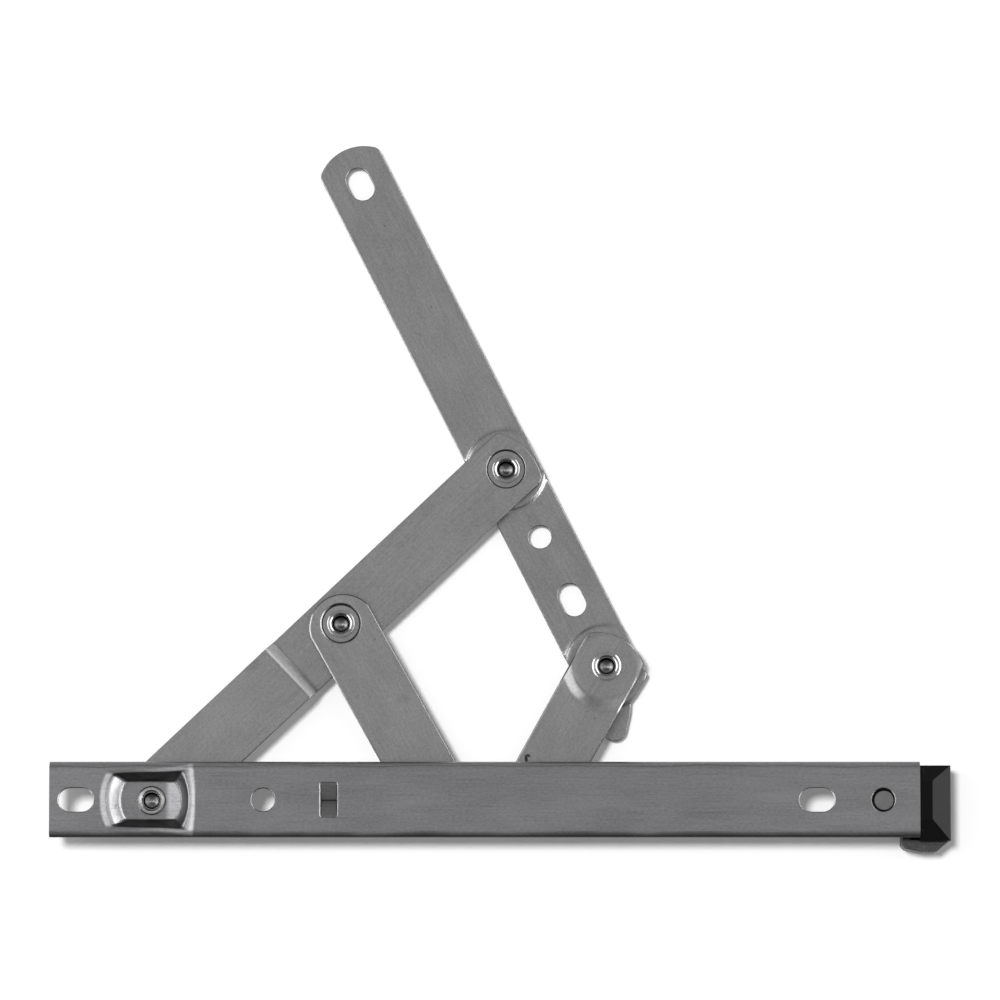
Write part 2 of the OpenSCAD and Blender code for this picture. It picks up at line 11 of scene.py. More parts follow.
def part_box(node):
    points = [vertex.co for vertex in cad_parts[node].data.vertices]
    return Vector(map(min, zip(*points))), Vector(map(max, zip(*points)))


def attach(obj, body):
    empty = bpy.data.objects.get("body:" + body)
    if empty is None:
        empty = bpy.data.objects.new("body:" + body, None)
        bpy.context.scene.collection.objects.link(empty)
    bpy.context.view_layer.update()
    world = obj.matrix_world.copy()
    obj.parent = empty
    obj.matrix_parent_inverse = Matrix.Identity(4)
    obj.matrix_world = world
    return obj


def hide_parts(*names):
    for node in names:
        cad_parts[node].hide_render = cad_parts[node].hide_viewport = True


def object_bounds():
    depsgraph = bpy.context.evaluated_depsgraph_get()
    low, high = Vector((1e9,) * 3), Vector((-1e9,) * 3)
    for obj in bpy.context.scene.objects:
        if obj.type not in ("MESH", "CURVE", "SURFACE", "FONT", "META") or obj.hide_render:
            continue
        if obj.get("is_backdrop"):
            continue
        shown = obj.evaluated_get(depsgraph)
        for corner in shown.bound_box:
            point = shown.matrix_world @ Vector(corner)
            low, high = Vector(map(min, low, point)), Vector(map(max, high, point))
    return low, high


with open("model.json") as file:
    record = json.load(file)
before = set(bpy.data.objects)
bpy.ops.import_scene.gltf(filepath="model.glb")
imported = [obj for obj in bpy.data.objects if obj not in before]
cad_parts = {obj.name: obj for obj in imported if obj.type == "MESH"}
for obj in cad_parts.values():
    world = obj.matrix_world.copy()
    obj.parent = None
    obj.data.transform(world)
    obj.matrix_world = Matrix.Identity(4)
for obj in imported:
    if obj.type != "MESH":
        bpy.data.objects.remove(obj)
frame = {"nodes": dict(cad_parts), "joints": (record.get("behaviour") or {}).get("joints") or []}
cad_low, cad_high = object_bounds()

# Sizes in millimetres, with heights counted from the track's back

MM = 0.001
SHEET = 1.5            # the track's sheet
PLATE = 2.0            # arms and links
TRACK_W = 18.0
TRACK_H = 5.5
BEND = 2.0             # outer radius of the track's bends
HALF = 15.5 / 2        # half the width of arms and links
CORNER = 2.0           # small corners of their ends
RIM = 0.32             # broken rim of the links
FINE_RIM = 0.16        # and of both long arms
RUN_GAP = 0.1
WASHER = 0.3
BOSS_Z = -TRACK_H - RUN_GAP
SEAT_DEPTH = -BOSS_Z - SHEET
UPPER_Z = BOSS_Z - WASHER
LOWER_Z = UPPER_Z - PLATE - WASHER
PAD_Z = LOWER_Z - PLATE - WASHER
PAD_RISE = 1.1
SASH_Z = PAD_Z - PAD_RISE
HOLE_R = 2.7           # round screw holes
PIN_HOLE_R = 2.05      # rivet holes of the plates
SHANK_R = 2.0          # rivets, with their far heads
FAR_R = 3.6
FAR_H = 0.9
SINK_R = 4.55          # counterbore round a rivet's rolled end
SINK_H = 1.0
JOGGLE_X = 43.1        # start and length of the long arm's step
JOGGLE_RUN = 3.4
DISH_R = 7.1           # flat pad of the end link, and the slope round it
DISH_RUN = 4.4
PAD_RUN = 1.3          # slope round the sash arm's pads
SASH_HOLE_X = 17.74    # sash arm's screw hole, and its tail past the pivot
SASH_TAIL = 85.45
SASH_SLOT = (8, 5.6)   # length and width
TRACK_SLOT = (8.2, 5.5)

# Angles in radians above which an edge is rolled over, or counts as a slope's edge
SQUARE = 1.2
SLANT = 0.35


def middle(node):
    low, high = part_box(node)
    return (low + high) / 2 / MM


PIVOTS = {j["name"]: Vector(j["pos_m"]) / MM for j in frame["joints"]}
track_pivot = PIVOTS["long_arm_pivot"]
sash_pivot = PIVOTS["sash_arm_pivot"]
link_pivot = PIVOTS["mid_link_pivot"]
slider_mid = PIVOTS["slider_mid_pivot"]
slider_end = PIVOTS["slider_end_pivot"]
nose_pivot = middle("nose_rivet")
track_low, track_high = (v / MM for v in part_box("track"))
nose_head = (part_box("nose_rivet")[1].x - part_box("nose_rivet")[0].x) / 2 / MM
window_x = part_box("slider")[0].x / MM - 0.15 - 2


def span(a, b):
    """Length and heading of the line between two pivots."""
    d = (b - a).to_2d()
    return d.length, math.atan2(d.y, d.x)


long_len, long_turn = span(track_pivot, sash_pivot)
long_mid = span(track_pivot, link_pivot)[0]
sash_len, sash_turn = span(sash_pivot, nose_pivot)
mid_len, mid_turn = span(link_pivot, slider_mid)
end_len, end_turn = span(slider_end, nose_pivot)


# Outlines: chains of vertices that are swept by spin and joined to a loop

def arc(bm, centre, radius, start, end, steps):
    """Chain of vertices on a circle, from one heading to another in degrees."""
    known = len(bm.verts)
    a = math.radians(start)
    first = bm.verts.new((centre[0] + radius * math.cos(a), centre[1] + radius * math.sin(a), 0))
    bmesh.ops.spin(bm, geom=[first], cent=(centre[0], centre[1], 0), axis=(0, 0, 1),
                   angle=math.radians(end - start), steps=steps, use_merge=False)
    return list(bm.verts)[known:]


def corner(bm, x, y):
    return [bm.verts.new((x, y, 0))]


def close_loop(bm, chains):
    """Joins chains end to end, each of which already has its own edges."""
    for a, b in zip(chains, chains[1:] + chains[:1]):
        bm.edges.new((a[-1], b[0]))


def plate_end(bm, tip, radius, at, side):
    """End of a plate round a pivot: a plain half circle, or a blunter arc between two small corners."""
    r = max(radius, HALF)
    heading = 0 if side > 0 else 180
    cx = tip - r
    dx = math.sqrt(max(0, (r - CORNER) ** 2 - (HALF - CORNER) ** 2))
    a = math.degrees(math.atan2(HALF - CORNER, dx))
    if a >= 85:
        return [arc(bm, (at + side * cx, 0), r, heading + 90, heading - 90, 40)]
    inner = (HALF - CORNER) * side
    return [arc(bm, (at + side * (cx + dx), inner), CORNER, heading + 90, heading + a, 6),
            arc(bm, (at + side * cx, 0), r, heading + a * 7 / 8, heading - a * 7 / 8, 20),
            arc(bm, (at + side * (cx + dx), -inner), CORNER, heading - a, heading - 90, 6)]


def round_hole(bm, x, radius, segments=40):
    bmesh.ops.create_circle(bm, cap_ends=False, radius=radius, segments=segments,
                            matrix=Matrix.Translation((x, 0, 0)))


def pin_hole(bm, x):
    round_hole(bm, x, PIN_HOLE_R, 32)


def slot_hole(bm, x, size):
    reach, r = (size[0] - size[1]) / 2, size[1] / 2
    close_loop(bm, [arc(bm, (x + reach, 0), r, 90, -90, 18), arc(bm, (x - reach, 0), r, -90, -270, 18)])


# Work on meshes

def cut(bm, spot, normal, clear_outer=False):
    """Cuts the whole mesh along a plane."""
    return bmesh.ops.bisect_plane(bm, geom=bm.verts[:] + bm.edges[:] + bm.faces[:], dist=1e-5,
                                  plane_co=spot, plane_no=normal, clear_outer=clear_outer)


def cut_grid(bm, axis, start, end, step):
    """Parallel cuts that give the flat blank enough faces to be pressed or folded."""
    normal = Vector((0, 0, 0))
    normal[axis] = 1
    steps = round((end - start) / step)
    for i in range(steps + 1):
        cut(bm, normal * (start + (end - start) * i / steps), normal)


def cut_lengthwise(bm):
    """Cuts along a plate, between its rims, that round pads need."""
    cut_grid(bm, 1, -HALF + 0.4, HALF - 0.4, 0.42)


def bevelled(bm, edges, rim, segments, clamp=True):
    bmesh.ops.bevel(bm, geom=edges, offset=rim, offset_type="OFFSET", segments=segments, profile=0.5,
                    affect="EDGES", clamp_overlap=clamp, material=-1)


def soften(bm, rim, angle=SLANT, segments=3):
    """Rounds every edge of a closed mesh that is sharper than an angle."""
    bevelled(bm, [e for e in bm.edges if e.calc_face_angle() > angle], rim, segments)


def blank(bm, thickness, rim=RIM, cut_off=()):
    """Fills the loops to a sheet, thick downwards, and breaks its rims, but not at the cut ends."""
    bmesh.ops.triangle_fill(bm, use_beauty=True, use_dissolve=False, edges=bm.edges[:], normal=(0, 0, 1))
    inner = [e for e in bm.edges if len(e.link_faces) == 2]
    bmesh.ops.dissolve_limit(bm, angle_limit=0.01, verts=[], edges=inner)
    walls = bmesh.ops.extrude_face_region(bm, geom=bm.faces[:])
    below = [v for v in walls["geom"] if isinstance(v, bmesh.types.BMVert)]
    bmesh.ops.translate(bm, vec=(0, 0, -thickness), verts=below)
    bmesh.ops.recalc_face_normals(bm, faces=bm.faces[:])
    if not rim:
        return
    rims = [e for e in bm.edges if len(e.link_faces) == 2 and e.calc_face_angle() > SQUARE
            and abs(e.verts[0].co.z - e.verts[1].co.z) < 1e-6
            and not any(abs(e.verts[0].co.x - x) + abs(e.verts[1].co.x - x) < 1e-3 for x in cut_off)]
    bevelled(bm, rims, rim, 1, clamp=False)


def turned(bm, line, steps):
    """Sweeps a line of (radius, height) points once round the axis."""
    chain = [bm.verts.new((r, 0, z)) for r, z in line]
    edges = [bm.edges.new(pair) for pair in zip(chain, chain[1:])]
    bmesh.ops.spin(bm, geom=chain + edges, cent=(0, 0, 0), axis=(0, 0, 1), angle=math.tau,
                   steps=steps, use_merge=True)


def as_mesh(bm, name):
    mesh = bpy.data.meshes.new(name)
    bm.to_mesh(mesh)
    bm.free()
    return mesh


def joined(bm, other):
    """Adds another mesh to this one."""
    spare = as_mesh(other, "spare")
    bm.from_mesh(spare)
    bpy.data.meshes.remove(spare)
    return bm


def added(name, data):
    """New object in the scene."""
    obj = bpy.data.objects.new(name, data)
    bpy.context.scene.collection.objects.link(obj)
    return obj


def finish_piece(bm, name, body, finish, nodes, pivot=(0, 0), turn=0, sharp=40):
    """Moves a mesh from its own millimetres to its place, sets it on its body, and hides the frame's meshes
    that it stands for.
    """
    bmesh.ops.remove_doubles(bm, verts=bm.verts[:], dist=1e-4)
    bmesh.ops.triangulate(bm, faces=[f for f in bm.faces if len(f.verts) > 4])
    bmesh.ops.recalc_face_normals(bm, faces=bm.faces[:])
    spot = Matrix.Translation((pivot[0], pivot[1], 0))
    place = Matrix.Scale(MM, 4) @ spot @ Matrix.Rotation(turn, 4, "Z")
    bmesh.ops.transform(bm, matrix=place, verts=bm.verts[:])
    mesh = as_mesh(bm, name)
    mesh.shade_smooth()
    mesh.set_sharp_from_angle(angle=math.radians(sharp))
    mesh.materials.append(finish)
    piece = added(name, mesh)
    even = piece.modifiers.new("even shading", "WEIGHTED_NORMAL")
    even.keep_sharp = True
    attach(piece, body)
    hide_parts(*nodes)


# Curves and tones

def ease(s):
    s = min(1, max(0, s))
    return s * s * (3 - 2 * s)


def stretch(points, t):
    """Straight pieces between (place, share) points, level past both ends."""
    for (a, va), (b, vb) in zip(points, points[1:]):
        if t <= b:
            return va + (vb - va) * max(0, (t - a) / (b - a))
    return points[-1][1]


def paint_light_and_shade(bm, share):
    """Marks each vertex with its painted light: above zero a painted highlight, below zero painted shade.
    """
    layer = bm.verts.layers.float.get("painted_light_and_marks") or bm.verts.layers.float.new("painted_light_and_marks")
    for v in bm.verts:
        v[layer] = share(v.co)


def painted_wall_shading(co, share=-0.6, rim=RIM):
    """Painted shade: the sheared walls of a plate and the lower borders of its rims are drawn darker than
    its faces, by a share that a caller may set above zero for a painted highlight.
    """
    return share if rim - PLATE - 0.01 < co.z < 0.01 - rim else 0


# Arms and links, each flat on its own x axis with its first pivot at zero

def long_arm():
    """Straight plate that steps down one level at its joggle, with a sunk seat for the sash rivet."""
    bm = bmesh.new()
    close_loop(bm, plate_end(bm, 6.65, 15.2, long_len, 1) + plate_end(bm, HALF, HALF, 0, -1))
    round_hole(bm, long_len, SINK_R, 56)
    for x in (0, long_mid):
        pin_hole(bm, x)
    blank(bm, PLATE, FINE_RIM)
    end = JOGGLE_X + JOGGLE_RUN
    cut_grid(bm, 0, JOGGLE_X - 1, end + 1, 0.2)

    def painted_shading(co):
        """Painted shade on the joggle's slope, and a little on its foot, over the walls' painted shade."""
        x = co.x - JOGGLE_X
        slope = ease((x - 0.4 - 0.05 * co.y) / 0.5) * ease((end - 0.5 - co.x) / 0.2)
        foot = ease((x - JOGGLE_RUN + 0.5) / 0.2) * ease((end - co.x) / 0.3)
        return painted_wall_shading(co, rim=FINE_RIM) - 0.34 * slope - 0.15 * foot

    paint_light_and_shade(bm, painted_shading)
    for v in bm.verts:
        step = stretch(((0, 0), (0.1, 0.04), (0.9, 0.96), (1, 1)), (v.co.x - JOGGLE_X) / JOGGLE_RUN)
        v.co.z += UPPER_Z + (LOWER_Z - UPPER_Z) * step
    return bm


def mid_link():
    """Plain link with a painted highlight along the walls of its lower edge, all but its round end, and
    painted shade on its other walls.
    """
    bm = bmesh.new()
    close_loop(bm, plate_end(bm, HALF, HALF, mid_len, 1) + plate_end(bm, 6.8, 8, 0, -1))
    round_hole(bm, 0, SINK_R, 56)
    pin_hole(bm, mid_len)
    blank(bm, PLATE)
    paint_light_and_shade(bm, lambda co: painted_wall_shading(co, 0.2 if co.y < 0 and co.x > -5.5 else -1.6))
    bmesh.ops.translate(bm, vec=(0, 0, UPPER_Z), verts=bm.verts[:])
    return bm


def sink_floor(level, x):
    """Two rings that close a counterbore below: the floor with a groove round it, and its underlay."""
    whole = bmesh.new()
    floor_r, floor_h = 4.28, 0.7
    for radius, drop, depth in ((floor_r, SINK_H, floor_h),
                                (SINK_R + RIM, SINK_H + floor_h, PLATE - SINK_H - floor_h)):
        bm = bmesh.new()
        round_hole(bm, x, radius, 56)
        pin_hole(bm, x)
        blank(bm, depth, 0)
        # Painted shade on all but the floor's upper face: its groove wall, its underside and the whole
        # underlay.
        paint_light_and_shade(bm, lambda co: 0 if co.z > -0.1 and drop == SINK_H else -1.1)
        bmesh.ops.translate(bm, vec=(0, 0, level - drop), verts=bm.verts[:])
        joined(whole, bm)
    return whole


def end_link():
    """Plate whose end is pressed down one level, to a round flat pad."""
    bm = bmesh.new()
    close_loop(bm, plate_end(bm, 7.5, 11.5, end_len, 1) + plate_end(bm, HALF, HALF, 0, -1))
    for x in (0, end_len):
        pin_hole(bm, x)
    blank(bm, PLATE)
    cut_grid(bm, 0, end_len - 12, end_len + 7, 0.38)
    cut_lengthwise(bm)
    shade = math.radians(205) - end_turn

    def painted_shading(co):
        """Painted shade on the dish's slope at one heading, and a painted highlight a little further round.
        """
        r = math.hypot(co.x - end_len, co.y)
        turn = math.atan2(co.y, co.x - end_len) - shade
        slope = ease((r - 7.3) / 1.2) * ease((11.4 - r) / 2)
        return (painted_wall_shading(co, -0.35 if co.y < 0 else -0.6)
                - 0.55 * slope * ease(2 * math.cos(turn) - 0.6)
                + 0.3 * slope * ease(2 * math.cos(turn - 1.2) - 0.9))

    paint_light_and_shade(bm, painted_shading)
    for v in bm.verts:
        r = (v.co.xy - Vector((end_len, 0))).length
        v.co.z += LOWER_Z + (UPPER_Z - LOWER_Z) * ease((r - DISH_R) / DISH_RUN)
    return bm


def nose_outline(bm, at):
    """Slanting cut and round tongue past the sash arm's nose pivot."""
    tip = (at + 14.0, 2.8 - HALF)
    return [corner(bm, at + 6.2, HALF), arc(bm, (at + 10.9, 2.3), 1.2, 200, 250, 3),
            corner(bm, at + 12.3, 0.1), arc(bm, tip, 2.8, 50, -90, 14)]


def sash_arm():
    """Arm that screws to the sash, with two raised pads, a hole, two slots and a tongue."""
    bm = bmesh.new()
    close_loop(bm, nose_outline(bm, sash_len) + plate_end(bm, SASH_TAIL, 11, 0, -1))
    for x in (0, sash_len):
        pin_hole(bm, x)
    round_hole(bm, SASH_HOLE_X, HOLE_R)
    slots = (sash_len - 17.8, 9 - SASH_TAIL)
    for x in slots:
        slot_hole(bm, x, SASH_SLOT)
    blank(bm, PLATE, FINE_RIM)
    pads = ((0, 10.1), (sash_len, nose_head + 4.7))
    for x, radius in pads:
        cut_grid(bm, 0, x - radius - 0.6, x + radius + 0.6, 0.4)
    cut_lengthwise(bm)
    length, width = SASH_SLOT
    holes = [(SASH_HOLE_X, 0, HOLE_R)] + [(x, (length - width) / 2, width / 2) for x in slots]

    def painted_shading(co):
        """Painted shade on the walls, darker in the holes than round the outline."""
        hole = any(math.hypot(max(0, abs(co.x - x) - reach), co.y) < r + 0.3 for x, reach, r in holes)
        return painted_wall_shading(co, -1.1 if hole else -0.6, FINE_RIM)

    paint_light_and_shade(bm, painted_shading)
    for v in bm.verts:
        rise = max(ease((radius - math.hypot(v.co.x - x, v.co.y)) / PAD_RUN) for x, radius in pads)
        v.co.z += SASH_Z + PAD_RISE * rise
    return bm


# Rivets: (radius, height above the plate) down the rolled ring's inner side and the hole's cone, and
# (heading in degrees, painted light: a highlight above zero, shade below) round that cone

RING_LINE = ((2.56, 0.93), (2.26, 0.66), (2.14, 0.25), (2.04, -0.3), (1.86, -1.2), (1.7, -1.95),
             (1.6, -2.04), (1.2, -2.18), (0.6, -2.42), (0, -2.66))
CONE_SHADING = ((0, 0.4), (30, 0.3), (55, -0.45), (120, -0.45), (150, 0), (180, 0.05))


def rolled_rivet(top, low, far, roll, shine):
    """Hollow rivet: rolled ring standing on the height top, conical bottom, plain far head below low."""
    bm = bmesh.new()
    far_head = [(0, -FAR_H), (far - 0.45, -FAR_H), (far - 0.12, -FAR_H + 0.12), (far, -FAR_H + 0.45),
                (far, 0), (SHANK_R, 0)]
    ring = [(SHANK_R, 0), (roll, 0.0), (roll, 0.6), (roll - 0.3, 0.82), *RING_LINE]
    turned(bm, [(r, low + z) for r, z in far_head] + [(r, top + z) for r, z in ring], 64)
    bmesh.ops.remove_doubles(bm, verts=bm.verts[:], dist=1e-4)

    def painted_ring_light(co):
        """Painted highlight on the ring's outer wall and inner lip, by the share shine, not on its
        shoulder, over the well's painted shading.
        """
        shoulder = abs(math.hypot(co.x, co.y) - 2.9) <= 0.3
        return painted_well_shading(co, top) + (shine if co.z > top and not shoulder else 0)

    paint_light_and_shade(bm, painted_ring_light)
    return bm


def painted_well_shading(co, top):
    """Painted shade on the wall of the rivet's hole, and painted highlight and shade by heading round its
    conical bottom, darkest on the side towards +y.
    """
    r = math.hypot(co.x, co.y)
    if co.z > top - 0.2 or r > 3 or r < 0.01:
        return 0
    if r > 1.65:
        return -1.3
    turn = math.degrees(abs(math.atan2(co.y, co.x)))
    return stretch(CONE_SHADING, turn) - 1.2 * ease((co.y - 0.7) / 0.7)


# Track: a flat blank with its holes, pressed and folded to a C-section

FLAT = TRACK_W / 2 - BEND
FOLD = (BEND - SHEET / 2) * math.pi / 2
SIDE = TRACK_H - 2 * BEND
LIP = FLAT - 4.7

# Pressed seat round the track's pivot: radius of its floor, half width of its flat, and the arcs that
# bound it left and right, each by centre and radius
SEAT_FLOOR = 6.8
SEAT_FLAT = 4.25
SEAT_ARCS = ((2.9, 15), (-49.6, 60))


def folded(s, depth):
    """Place in the section of a point of the blank, s across it and depth below its back."""
    a, side, r = abs(s), math.copysign(1, s), BEND - depth
    if a <= FLAT:
        y, z = a, -depth
    elif a <= FLAT + FOLD:
        t = (a - FLAT) / FOLD * math.pi / 2
        y, z = FLAT + r * math.sin(t), -BEND + r * math.cos(t)
    elif a <= FLAT + FOLD + SIDE:
        y, z = FLAT + r, -BEND - (a - FLAT - FOLD)
    elif a <= FLAT + 2 * FOLD + SIDE:
        t = (a - FLAT - FOLD - SIDE) / FOLD * math.pi / 2
        y, z = FLAT + r * math.cos(t), -BEND - SIDE - r * math.sin(t)
    else:
        y, z = 2 * FLAT + 2 * FOLD + SIDE - a, -TRACK_H + depth
    return side * y, z


def seat_press(u, v):
    """Depth of the pressed seat and its painted highlights and shade, u along the track from the pivot and
    v across.
    """
    left, right = (radius - math.hypot(u - x, v) for x, radius in SEAT_ARCS)
    to_rim, past_floor = min(left, right), math.hypot(u, v) - SEAT_FLOOR
    rim_y = 7.3 + (0.009 if u > 0 else -0.005) * u * u
    if to_rim <= 0 or abs(v) >= rim_y:
        return 0, 0
    knee = 0.66 if left < right else 0.54
    far = max(0, past_floor / (past_floor + to_rim))
    wide = max(0, (abs(v) - SEAT_FLAT) / (rim_y - SEAT_FLAT))
    along = stretch(((0, 1), (0.05, 0.98), (knee - 0.05, 0.2), (knee + 0.05, 0.1), (1, 0)), far)
    across = stretch(((0, 1), (0.05, 0.98), (0.66, 0.17), (0.76, 0.08), (1, 0)), wide)
    lower, soft = min(along, across), 0.05
    gap = max(0, 1 - abs(along - across) / (4 * soft))
    depth = SEAT_DEPTH * max(0, lower - soft * gap * gap * min(1, lower * 6))
    at_side = ease((along - across) / 0.16 + 0.5)
    # end_wall, side_wall, lip and floor are painted highlights above zero and painted shade below zero on
    # those parts of the seat.
    if left < right:
        end_wall = stretch(((0, 0), (0.05, 0.15), (0.16, 0.4), (0.3, 0.66), (knee - 0.12, 0.6),
                            (knee - 0.05, -0.8), (knee, -0.8), (knee + 0.07, 0.7), (0.9, 0.8),
                            (1, 0.1)), far) * ease((7 - abs(v)) / 1.2)
    else:
        end_wall = stretch(((0, 0), (0.05, -0.2), (0.12, -0.35), (knee - 0.12, -0.8), (knee, -0.6),
                            (knee + 0.12, 0.35), (0.72, 0.35), (0.82, 0.75), (0.95, 0.65),
                            (1, 0.2)), far)
    lip = 0.5 * ease((u + 6) / 10)
    side_wall = stretch(((0, 0), (0.06, -0.8), (0.6, -0.9), (0.7, -0.5), (0.8, lip), (0.95, lip),
                         (1, 0)), wide)
    floor = 0.72 * ease((u - 2.8) / 1.6) if max(far, wide) == 0 else 0
    return depth, floor + end_wall * (1 - at_side) + side_wall * at_side


def track():
    """Strip with its holes and stop window, whose lips are cut back under the seat."""
    bm = bmesh.new()
    left, right = track_low.x, track_high.x
    reach = FLAT + 2 * FOLD + SIDE + LIP
    notch = FLAT + FOLD + SIDE + 0.7 * FOLD
    cut_a, cut_b = track_pivot.x - 12.55, track_pivot.x + 12.55
    ring = [(left, -reach), (cut_a, -reach), (cut_a, -notch), (cut_b, -notch), (cut_b, -reach),
            (right, -reach)]
    ring += [(x, -s) for x, s in reversed(ring)]
    close_loop(bm, [corner(bm, x, s) for x, s in ring])
    close_loop(bm, [arc(bm, (window_x + x, y), 0.5, turn, turn - 90, 4) for x, y, turn in (
        (-1.5, 3.5, 180), (1.5, 3.5, 90), (1.5, -3.5, 0), (-1.5, -3.5, -90))])
    holes = (0, right - 8.6)
    for x in holes:
        round_hole(bm, x, HOLE_R)
    pin_hole(bm, track_pivot.x)
    for x in (-43.65, right - 24.05):
        slot_hole(bm, x, TRACK_SLOT)
    blank(bm, SHEET, 0.2, (left, right))
    cut_grid(bm, 0, track_pivot.x - 12.4, track_pivot.x + 10.8, 0.2)
    cut_grid(bm, 1, -8.3, 8.3, 0.2)
    for side in (-1, 1):
        for start in (FLAT, FLAT + FOLD + SIDE):
            cut_grid(bm, 1, side * start, side * (start + FOLD), 0.24)

    def painted_shading(co):
        """Painted shade on the walls of the round holes; the seat's painted highlights and shade on its
        upper face only.
        """
        out = min(math.hypot(co.x - x, co.y) for x in holes)
        if co.z < -0.15 and HOLE_R - 0.05 < out < HOLE_R + 0.05:
            return -0.9
        return seat_press(co.x - track_pivot.x, co.y)[1] if co.z > -0.5 else 0

    paint_light_and_shade(bm, painted_shading)
    for v in bm.verts:
        x, s, z = v.co
        y, z = folded(s, -z)
        v.co = (x, y, z - seat_press(x - track_pivot.x, s)[0])
    for side in (-1, 1):
        joined(bm, stop_flap(side))
    return bm


def stop_flap(side):
    """Flap lanced out of the window and folded down into the track."""
    bm = bmesh.new()
    line = [(4.7, -0.15), (3.85, -0.18), (3.5, -0.42), (-0.16, -2.62), (0.9, -3.85), (4.2, -1.48),
            (4.7, -1.3)]
    length = 3.8
    face = bm.faces.new([bm.verts.new((window_x - length / 2, side * y, z)) for y, z in line])
    wide = bmesh.ops.extrude_face_region(bm, geom=[face])
    far = [v for v in wide["geom"] if isinstance(v, bmesh.types.BMVert)]
    bmesh.ops.translate(bm, vec=(length, 0, 0), verts=far)
    bmesh.ops.recalc_face_normals(bm, faces=bm.faces[:])
    soften(bm, 0.15, SQUARE, 2)
    cut(bm, (0, side * 0.25, 0), (0, 1, 0))
    # Painted shade on the flap inside the track, darkest where it reaches the middle of the window.
    paint_light_and_shade(bm, lambda co: -1.2 if abs(co.y) < 0.2 else -0.3)
    return bm


# End cap: a moulded block cut to its slopes, a plug inside the track, and the catch for the tongue

def block(low, high, rim=0.25):
    bm = bmesh.new()
    bmesh.ops.create_cube(bm, size=1)
    low, high = Vector(low), Vector(high)
    fit = Matrix.Translation((low + high) / 2) @ Matrix.Diagonal((*(high - low), 1))
    bmesh.ops.transform(bm, matrix=fit, verts=bm.verts[:])
    if rim:
        soften(bm, rim)
    return bm


def slope(bm, spot, normal):
    """Cuts a slope off the block and closes it."""
    made = cut(bm, spot, normal, clear_outer=True)
    bmesh.ops.edgeloop_fill(bm, edges=[e for e in made["geom_cut"] if isinstance(e, bmesh.types.BMEdge)])


def end_cap():
    """Bevelled block, plug, lower body clear of the closed nose rivet, catch, and wall with its lobe."""
    right, cap_right, back, drop = track_high.x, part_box("end_cap")[1].x / MM, -0.3, 3.0
    top, bottom, level = 8.2, -9.4, 4.5
    floor_z, catch_low = SASH_Z + 0.3, SASH_Z - PLATE - 0.3
    bm = block((right + 0.05, bottom, BOSS_Z - 1), (cap_right, top, back), 0)
    slope(bm, (right, level, back), (0, drop, top - level))
    slope(bm, (right, -level, back), (0, -drop, -level - bottom))
    slope(bm, (right + 2.9, 0, back), (drop, 0, cap_right - right - 2.9))
    soften(bm, 0.22)
    nose_x = right - 13.2
    joined(bm, block((right - 16.5, -7.35, -3.85), (right + 1, 7.35, -1.65)))
    joined(bm, block((nose_x + nose_head + 5.0, bottom, floor_z), (cap_right, top, BOSS_Z)))
    catch_y = -HALF - 0.45
    joined(bm, block((nose_x + 17.1, catch_y - 1, catch_low), (cap_right, catch_y + 6.75, floor_z + 1)))
    wall = bmesh.new()
    wall_x, lobe_y = nose_x + 9.2, catch_y - 3.7
    close_loop(wall, [corner(wall, x, y) for x, y in (
        (wall_x, catch_y), (wall_x, lobe_y + 1.5), (wall_x + 0.75, lobe_y + 0.75), (wall_x + 4.3, lobe_y),
        (cap_right - 3.3, lobe_y), (cap_right - 0.3, bottom), (cap_right - 0.3, catch_y))])
    blank(wall, BOSS_Z - catch_low, 0.2)
    bmesh.ops.translate(wall, vec=(0, 0, BOSS_Z), verts=wall.verts[:])
    # Painted highlight: the wall with its lobe is drawn much lighter than the rest of the cap.
    paint_light_and_shade(wall, lambda co: 3.2)
    return joined(bm, wall)


def cap_stud():
    """Flush stud that holds the cap: a slightly domed face with a fine ring round it."""
    bm = bmesh.new()
    turned(bm, [(0, -0.22), (1.2, -0.25), (2.0, -0.3), (2.2, -0.36), (2.3, -0.9), (2.42, -3.9),
                (3.4, -3.9), (3.4, -4.5), (3.2, -4.62), (0, -4.62)], 48)
    return bm


# Finishes, whose coordinates are in metres

def grey(level):
    """Linear value of an sRGB grey level."""
    v = level / 255
    return v / 12.92 if v <= 0.04045 else ((v + 0.055) / 1.055) ** 2.4


def tone(level, violet=0.0):
    g = grey(level)
    return (g * (1 + violet / 2), g, g * (1 + violet), 1)


